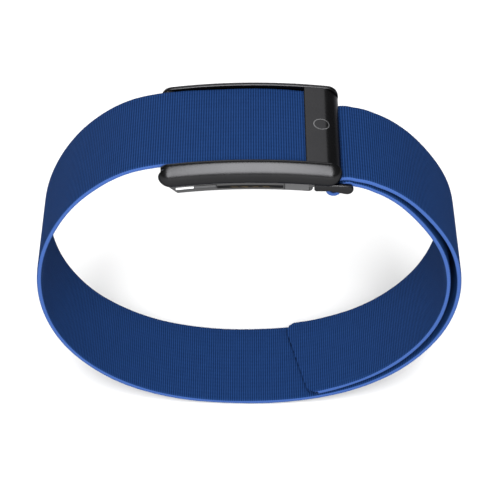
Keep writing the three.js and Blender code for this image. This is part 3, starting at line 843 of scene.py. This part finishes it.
def crossbar_outline():
    outer = CROSSBAR_TOP - ARCH_CENTRE.y
    turn = math.acos((RAIL_RIGHT - CROSSBAR_ROLL - ARCH_X) / (outer - CROSSBAR_ROLL))
    start = arch_angle(CROSSBAR_LEFT, CROSSBAR_TOP)
    centre = arch_point(turn, CROSSBAR_TOP - CROSSBAR_ROLL)
    return (
        arc(ARCH_CENTRE, outer, start, turn, 8)[:-1]
        + arc(centre, CROSSBAR_ROLL, turn, 0, 24)
        + [(RAIL_RIGHT, CROSSBAR_BOTTOM), (RAIL_RIGHT - CROSSBAR_WALL, CROSSBAR_BOTTOM)]
        + arc(centre, CROSSBAR_ROLL - CROSSBAR_WALL, 0, turn, 24)[:-1]
        + arc(ARCH_CENTRE, outer - CROSSBAR_WALL, turn, start, 8)
    )


bar_reach = RAIL_INNER + RAIL_LIP / 2
crossbar = prism("crossbar", crossbar_outline(), -bar_reach, bar_reach)
long_edge = lambda edge: abs(edge.verts[0].co.y - edge.verts[1].co.y) > 0.01
soften(crossbar, lambda edge: long_edge(edge) and middle(edge).x < CROSSBAR_LEFT + 0.1, 0.3, 4)
soften(crossbar, lambda edge: long_edge(edge) and middle(edge).z < CROSSBAR_BOTTOM + 0.1, 0.2, 3)
print("crossbar faces:", len(crossbar.data.polygons))

# %% [markdown]
# The rails and the bar are one casting, so they are joined with a boolean. The same tool cuts the
# pockets for the pod's ears, the holes for the hinge pins and the sockets of the anchor rod.

# %% Join the clasp frame and cut its pockets
CLASP_HINGE = (-17.7, 38.9)
PIN_RADIUS, GAP = 0.5, 0.3
EAR_INNER, EAR_OUTER, EAR_RADIUS = 13.35, 14.25, 1.2


def between(side, inner, outer):
    """The Y range between two distances from the middle, on one side."""
    return (-outer, -inner) if side < 0 else (inner, outer)


clasp = combine(crossbar, near_rail, "UNION")
clasp = combine(clasp, far_rail, "UNION")
clasp.name = "clasp"
x, z = CLASP_HINGE
pocket = arc(CLASP_HINGE, EAR_RADIUS + GAP, 0, math.radians(110), 10) + [
    (x - 4, z + 0.45), (x - 4, z - 5.5), (x + 4.3, z - 5.5),
]
for side in (-1, 1):
    pin_hole = between(side, RAIL_INNER - 1, EAR_OUTER + 0.8)
    tools = [
        prism("pocket", pocket, *between(side, RAIL_INNER - 1, EAR_OUTER + GAP / 2)),
        rod("pin hole", CLASP_HINGE, PIN_RADIUS + 0.1, *pin_hole),
        rod("rod socket", ANCHOR_ROD, 0.85, *between(side, RAIL_INNER - 1, RAIL_INNER + 1.4)),
    ]
    for tool in tools:
        clasp = combine(clasp, tool, "DIFFERENCE")
clasp.data.materials.clear()
clasp.data.materials.append(clasp_metal)
smooth(clasp, 32)
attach(clasp, "clasp")
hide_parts("clasp_frame")
print("clasp faces:", len(clasp.data.polygons))

# %% [markdown]
# ## The pod
# The lower case is a shallow arched tray with rounded corners, and the cover closes it. Both are
# made from one rounded block: an outline along the arch is extruded across, its upright corners
# are bevelled, and its long edges softened. A smaller block cuts the hollow, and small blocks cut
# the slot and the recesses of the trims.

# %% Make rounded blocks along the arch
POD_LEFT, POD_RIGHT, POD_HALF_WIDTH, POD_CORNER = -19.5, 15.25, 12.1, 1.2
POD_TOP, POD_BOTTOM, POD_SPLIT = 39.6, 32.0, 36.4
POD_WALL, POD_SIDE_WALL, SEAL = 1.0, 2.0, 0.6


def is_upright(edge):
    first, second = (v.co for v in edge.verts)
    return abs(first.z - second.z) > 0.2 * MM and abs(first.y - second.y) < 0.01 * MM


def arch_block(name, left, right, low, high, half_width, corner):
    """A block between two arcs, with its upright corners rounded."""
    outline = arch_band(left, right, low, high, straight=corner + 0.7)
    block = prism(name, outline, -half_width, half_width)
    at_end = lambda edge: min(abs(middle(edge).x - left), abs(middle(edge).x - right)) < 0.05
    soften(block, lambda edge: is_upright(edge) and at_end(edge), corner, 8)
    return block


def side_cutter(side, spec, depth, grow=0.0):
    """A cutter for a recess in the side of the pod."""
    outline = arch_band(
        spec["left"] - grow, spec["right"] + grow, spec["low"] - grow, spec["high"] + grow, 10,
    )
    floor_of_recess = POD_HALF_WIDTH - depth - grow
    return prism("recess", outline, *between(side, floor_of_recess, POD_HALF_WIDTH + 1))


case = arch_block("case", POD_LEFT, POD_RIGHT, POD_BOTTOM, POD_SPLIT, POD_HALF_WIDTH, POD_CORNER)
at_bottom = lambda edge: all(
    abs(v.co.z / MM - level(v.co.x / MM, POD_BOTTOM)) < 0.02 for v in edge.verts
)
on_rim = lambda edge: at_bottom(edge) and len({round(f.normal.z, 1) for f in edge.link_faces}) > 1
print("softened edges:", soften(case, on_rim, 0.35, 3))

# %% Hollow the case and cut its recesses
SLOT = {"left": -6.65, "right": 8.4, "low": POD_BOTTOM + 0.7, "high": POD_BOTTOM + 1.55}
STATUS = {"left": -16.1, "right": -12.0, "low": POD_BOTTOM + 1.2, "high": POD_BOTTOM + 1.75}
TRIM = {"left": -11.9, "right": -6.95, "low": POD_BOTTOM + 1.15, "high": POD_BOTTOM + 1.85}
ANTENNA = {"left": 8.8, "right": 14.3, "low": POD_BOTTOM + 0.35, "high": POD_BOTTOM + 3.6}
RECESS_GAP = 0.15

hollow = arch_block(
    "hollow", POD_LEFT + POD_WALL, POD_RIGHT - POD_WALL, POD_BOTTOM + POD_WALL, POD_SPLIT + 1,
    POD_HALF_WIDTH - POD_SIDE_WALL, POD_CORNER - POD_WALL,
)
heel = [
    (POD_LEFT - 1, 28), (-16.1, 28), (-15.7, 31.0), (-18.0, 33.1), (POD_LEFT, 35.2),
    (POD_LEFT - 1, 35.4),
]
inner_heel = [(x + 0.9, z + 0.6) for x, z in heel]
hollow = combine(hollow, prism("inner heel", inner_heel, -20, 20), "DIFFERENCE")
case = combine(case, hollow, "DIFFERENCE")
case = combine(case, prism("heel", heel, -20, 20), "DIFFERENCE")
for side in (-1, 1):
    recesses = [side_cutter(side, SLOT, 1.3), side_cutter(side, ANTENNA, 0.9, RECESS_GAP)]
    if side < 0:
        recesses.append(side_cutter(side, STATUS, POD_SIDE_WALL + 1, RECESS_GAP))
        recesses.append(side_cutter(side, TRIM, 0.8, RECESS_GAP))
    for recess in recesses:
        case = combine(case, recess, "DIFFERENCE")
print("case faces:", len(case.data.polygons))

# %% [markdown]
# The sensor window sits in a low raised ring under the pod. Ears at the left carry the clasp's
# pins, and lugs at the right carry the link's. They are joined to the case before the holes are
# cut.

# %% Add the ring, the ears and the lugs
WINDOW_LENGTH, WINDOW_WIDTH, WINDOW_CORNER = 19, 14, 4.5
BOSS_RIM, BOSS_LOW = 2.2, 30.6
LINK_HINGE, LINK_PIN_RADIUS, LINK_INNER, LINK_OUTER = (16.4, 34.3), 0.45, 13.0, 14.1


def rounded_plan(length, width, corner, steps=10):
    """A rectangle in X and Y with round corners, round the origin."""
    x, y, quarter = length / 2 - corner, width / 2 - corner, math.pi / 2
    points = []
    for i, centre in enumerate([(x, y), (-x, y), (-x, -y), (x, -y)]):
        points += arc(centre, corner, i * quarter, (i + 1) * quarter, steps)
    return points


def window_plate(name, grow, low, high):
    return plate(
        name,
        rounded_plan(WINDOW_LENGTH + 2 * grow, WINDOW_WIDTH + 2 * grow, WINDOW_CORNER + grow),
        low, high,
    )


boss = window_plate("boss", BOSS_RIM, BOSS_LOW, POD_BOTTOM + 0.1)
soften(boss, lambda edge: all(v.co.z < (BOSS_LOW + 0.01) * MM for v in edge.verts), 0.4, 4)
case = combine(case, boss, "UNION")
x, z = CLASP_HINGE
EAR_TAB = 0.7
ear_leg = [(x - 0.9, z - 0.7), (x + 1.1, z + 0.3), (-15.3, 36.0), (-15.3, 35.2), (-17.2, 35.2)]
ear_foot = [(-17.2, 35.2), (-15.3, 35.2), (-15.3, 36.0), (-17.2, 36.0)]
ear_tab = [(-17.2, 34.3), (-15.3, 34.3), (-15.3, 36.0), (-17.2, 36.0)]
lug_x, lug_z = LINK_HINGE
lug_arm = [
    (POD_RIGHT - 1, lug_z - 0.95), (lug_x, lug_z - 0.95), (lug_x, lug_z + 0.95),
    (POD_RIGHT - 1, lug_z + 0.95),
]
for side in (-1, 1):
    additions = [
        rod("ear eye", CLASP_HINGE, EAR_RADIUS, *between(side, EAR_INNER, EAR_OUTER)),
        prism("ear leg", ear_leg, *between(side, EAR_INNER, EAR_OUTER)),
        prism("ear foot", ear_foot, *between(side, POD_HALF_WIDTH + 0.1, EAR_OUTER)),
        prism("ear tab", ear_tab, *between(side, POD_HALF_WIDTH - 0.1, POD_HALF_WIDTH + EAR_TAB)),
        rod("lug eye", LINK_HINGE, 0.95, *between(side, 10.8, LINK_INNER - 0.4)),
        prism("lug arm", lug_arm, *between(side, 10.8, LINK_INNER - 0.4)),
    ]
    for addition in additions:
        case = combine(case, addition, "UNION")
print("case faces with ears and lugs:", len(case.data.polygons))

# %% Cut the window and the pin holes
case = combine(case, window_plate("window hole", GAP, BOSS_LOW - 1, POD_BOTTOM + 2), "DIFFERENCE")
for side in (-1, 1):
    tools = [
        rod("pin hole", CLASP_HINGE, PIN_RADIUS + GAP, *between(side, RAIL_INNER, EAR_OUTER + 1)),
        rod("link hole", LINK_HINGE, LINK_PIN_RADIUS + GAP / 2, *between(side, 11.3, LINK_INNER)),
    ]
    for tool in tools:
        case = combine(case, tool, "DIFFERENCE")
case.name = "pod_case"
case.data.materials.clear()
case.data.materials.append(finishes["pod_polymer"])
smooth(case, 32)
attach(case, "pod")
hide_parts("pod_bottom_case")
print("finished case faces:", len(case.data.polygons))

# %% [markdown]
# The cover is the same block, a little higher up, with the hollow cut from below. Its top edge is
# rounded more, because the strap lies on it.

# %% Make the cover
cover = arch_block(
    "cover", POD_LEFT, POD_RIGHT, POD_SPLIT + SEAL + 2 * GAP, POD_TOP, POD_HALF_WIDTH, POD_CORNER,
)
at_top = lambda edge: all(
    abs(v.co.z / MM - level(v.co.x / MM, POD_TOP)) < 0.02 for v in edge.verts
)
on_top_rim = lambda edge: at_top(edge) and len({round(f.normal.z, 1) for f in edge.link_faces}) > 1
print("softened edges:", soften(cover, on_top_rim, 0.5, 4))
cover_hollow = arch_block(
    "cover hollow", POD_LEFT + POD_WALL, POD_RIGHT - POD_WALL, POD_SPLIT - 1, POD_TOP - POD_WALL,
    POD_HALF_WIDTH - POD_SIDE_WALL, POD_CORNER - POD_WALL,
)
cover = combine(cover, cover_hollow, "DIFFERENCE")
cover.name = "pod_cover"
cover.data.materials.clear()
cover.data.materials.append(finishes["pod_polymer"])
smooth(cover, 32)
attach(cover, "pod")
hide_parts("pod_top_cover")
print("cover faces:", len(cover.data.polygons))

# %% [markdown]
# ## The strap link
# Two arms hinge on the pod's lugs. The strap turns round the flat bar between them, and a round
# bar ends the link. The arms are cut from plate, so their edges are only lightly broken.

# %% Make the link
END_BAR, END_BAR_RADIUS = (23.4, 32.9), 0.7
arm_outline = [
    (15.4, 35.1), (15.4, 33.6), (15.75, 33.2), (19.2, 33.2), (22.2, 32.4),
    *arc((22.9, 33.7), 1.4, -math.pi / 2, 0.2, 12), (23.8, 34.7), (20.6, 35.1),
]
bar_reach = LINK_INNER + 0.3


def make_arm(side):
    arm = prism("arm", arm_outline, *between(side, LINK_INNER, LINK_OUTER))
    flat_face = lambda edge: abs(edge.verts[0].co.y - edge.verts[1].co.y) < 0.01 * MM
    soften(arm, flat_face, 0.28, 3)
    return arm


turn_bar = prism("turn bar", [
    (19.4, 32.65), (19.5, 32.4), (19.75, 32.3), (19.95, 32.3), (20.2, 32.4), (20.3, 32.65),
    (20.3, 33.85), (20.2, 34.1), (19.95, 34.2), (19.75, 34.2), (19.5, 34.1), (19.4, 33.85),
], -bar_reach, bar_reach)
link = combine(make_arm(-1), make_arm(1), "UNION")
link = combine(link, turn_bar, "UNION")
link = combine(link, rod("end bar", END_BAR, END_BAR_RADIUS, -bar_reach, bar_reach), "UNION")
for side in (-1, 1):
    hole = rod("hole", LINK_HINGE, 0.6, *between(side, LINK_INNER - 1, LINK_OUTER - 0.2))
    link = combine(link, hole, "DIFFERENCE")
link.name = "link"
link.data.materials.clear()
link.data.materials.append(link_metal)
smooth(link, 32)
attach(link, "link")
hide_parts("link_frame")
print("link faces:", len(link.data.polygons))

# %% [markdown]
# ## The small parts
# The pins, trims, contacts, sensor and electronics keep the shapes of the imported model. Each gets
# the finish of its material.

# %% Give the small parts their finishes
FINISH_OF = {
    "seal_rubber": ["case_seal", "light_baffle"],
    "steel": ["strap_anchor_rod", "hinge_pin", "link_pin", "haptic_motor_shaft", "haptic_weight"],
    "gold": ["charge_contact"],
    "light_pipe": ["status_light_window", "status_led"],
    "trim_polymer": ["side_trim", "antenna_cover"],
    "glass": ["sensor_window"],
    "green_diode": ["green_led"],
    "red_diode": ["red_led"],
    "dark_diode": ["infrared_led"],
    "photo_cell": ["photodiode"],
    "board": ["sensor_board", "main_board", "battery_board"],
    "chip": ["processor_chip", "memory_chip", "motion_sensor", "temperature_sensor"],
    "tin": ["radio_shield", "haptic_motor_can"],
    "foil": ["battery_cell"],
    "flex": ["sensor_flex"],
}
painted = 0
for finish_name, starts in FINISH_OF.items():
    for node_name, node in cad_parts.items():
        if any(node_name.startswith(start) for start in starts):
            for slot in node.material_slots:
                slot.material = finishes[finish_name]
            painted += 1
print("nodes painted:", painted, "of", len(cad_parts))
